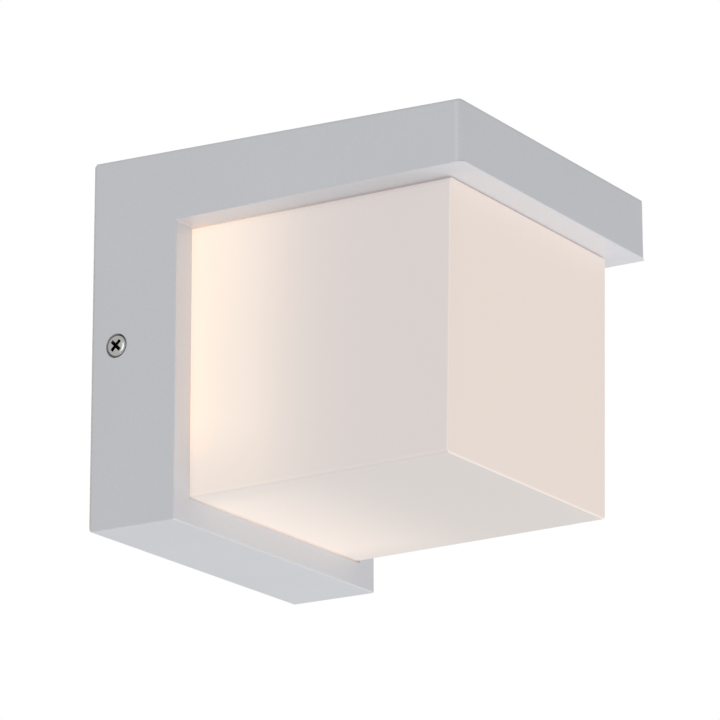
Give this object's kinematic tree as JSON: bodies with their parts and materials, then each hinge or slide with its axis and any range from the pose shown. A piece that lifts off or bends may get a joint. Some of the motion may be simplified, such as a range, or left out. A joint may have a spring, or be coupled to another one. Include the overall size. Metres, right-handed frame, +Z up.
{
  "type": "outdoor wall lantern",
  "caption": "Square-armed wall lantern: a cast L-shaped housing roofs an opal cube diffuser, hooks over a steel wall bracket and is held by side screws.",
  "frame": {"origin": "centre of the wall bracket's cable entry, on the wall plane", "axes": "+Y into the wall, so the lantern stands out towards -Y; +Z up; +X to the right of someone who faces the lantern"},
  "size_m": [0.114, 0.1333, 0.1187],
  "materials": {
    "silver_paint": "satin silver-grey powder paint with a fine texture on die-cast aluminium",
    "opal_acrylic": "moulded opal acrylic, satin outside, glowing warm white near the LEDs",
    "closed_cell_foam": "matt closed-cell foam strip",
    "silicone": "satin translucent silicone",
    "sheet_aluminium": "mill-finish sheet",
    "zinc_steel": "bright zinc plating",
    "stainless_steel": "bright stainless steel",
    "black_rubber": "matt black rubber",
    "white_solder_mask": "glossy white solder mask on an aluminium board",
    "led_phosphor": "yellow phosphor lens in a white package",
    "white_plastic": "fine-textured white polycarbonate",
    "green_solder_mask": "green solder mask on glass-fibre board",
    "transformer_tape": "yellow polyester tape over dark ferrite",
    "blue_can": "dark blue shrink sleeve",
    "black_component": "matt black sleeve",
    "brass": "bright machined brass",
    "green_paint": "green-dyed zinc plating",
    "red_insulation": "red PVC",
    "black_insulation": "black PVC",
    "white_insulation": "white PVC",
    "green_insulation": "green PVC"
  },
  "bodies": {
    "lantern": {"housing": "silver_paint", "diffuser": "opal_acrylic", "wall_gasket": "closed_cell_foam", "diffuser_gasket": "silicone", "heat_sink_plate": "sheet_aluminium", "heat_sink_screw_1": "zinc_steel", "heat_sink_screw_2": "zinc_steel", "heat_sink_screw_3": "zinc_steel", "heat_sink_screw_4": "zinc_steel", "led_board_screw_left": "zinc_steel", "led_board_screw_right": "zinc_steel", "driver_screw_left": "zinc_steel", "driver_screw_right": "zinc_steel", "terminal_block_screw": "zinc_steel", "earth_ring_terminal": "zinc_steel", "mounting_bracket": "zinc_steel", "lead_grommet": "black_rubber", "cable_grommet": "black_rubber", "led_board": "white_solder_mask", "led_package_01": "led_phosphor", "led_package_02": "led_phosphor", "led_package_03": "led_phosphor", "led_package_04": "led_phosphor", "led_package_05": "led_phosphor", "led_package_06": "led_phosphor", "led_package_07": "led_phosphor", "led_package_08": "led_phosphor", "led_package_09": "led_phosphor", "led_package_10": "led_phosphor", "led_package_11": "led_phosphor", "led_package_12": "led_phosphor", "driver_case": "white_plastic", "driver_cover": "white_plastic", "terminal_block": "white_plastic", "driver_board": "green_solder_mask", "driver_transformer": "transformer_tape", "driver_input_capacitor": "blue_can", "driver_output_capacitor": "black_component", "driver_choke": "black_component", "terminal_screw_supply_1": "brass", "terminal_screw_supply_2": "brass", "terminal_screw_supply_3": "brass", "terminal_screw_driver_1": "brass", "terminal_screw_driver_2": "brass", "terminal_screw_driver_3": "brass", "earth_screw": "green_paint", "bracket_earth_screw": "green_paint", "led_lead_positive": "red_insulation", "led_lead_negative": "black_insulation", "live_lead": "black_insulation", "neutral_lead": "white_insulation", "earth_lead": "green_insulation"},
    "left_screw_carrier": {"side_screw_washer_left": "black_rubber"},
    "left_screw": {"side_screw_left": "stainless_steel"},
    "right_screw_carrier": {"side_screw_washer_right": "black_rubber"},
    "right_screw": {"side_screw_right": "stainless_steel"}
  },
  "joints": [
    {"name": "left_screw_travel", "type": "slide", "parent": "lantern", "child": "left_screw_carrier", "axis": [-1, 0, 0], "range_m": [0, 0.00635]},
    {"name": "left_screw_turn", "type": "hinge", "parent": "left_screw_carrier", "child": "left_screw", "pos_m": [-0.0543, -0.0093, 0], "axis": [-1, 0, 0], "range_deg": [0, 2885]},
    {"name": "right_screw_travel", "type": "slide", "parent": "lantern", "child": "right_screw_carrier", "axis": [1, 0, 0], "range_m": [0, 0.00635]},
    {"name": "right_screw_turn", "type": "hinge", "parent": "right_screw_carrier", "child": "right_screw", "pos_m": [0.0543, -0.0093, 0], "axis": [1, 0, 0], "range_deg": [0, 2885]}
  ],
  "couplings": [
    {"joint": "left_screw_turn", "follows": "left_screw_travel", "rad_per_m": 7913.3},
    {"joint": "right_screw_turn", "follows": "right_screw_travel", "rad_per_m": 7913.3}
  ]
}
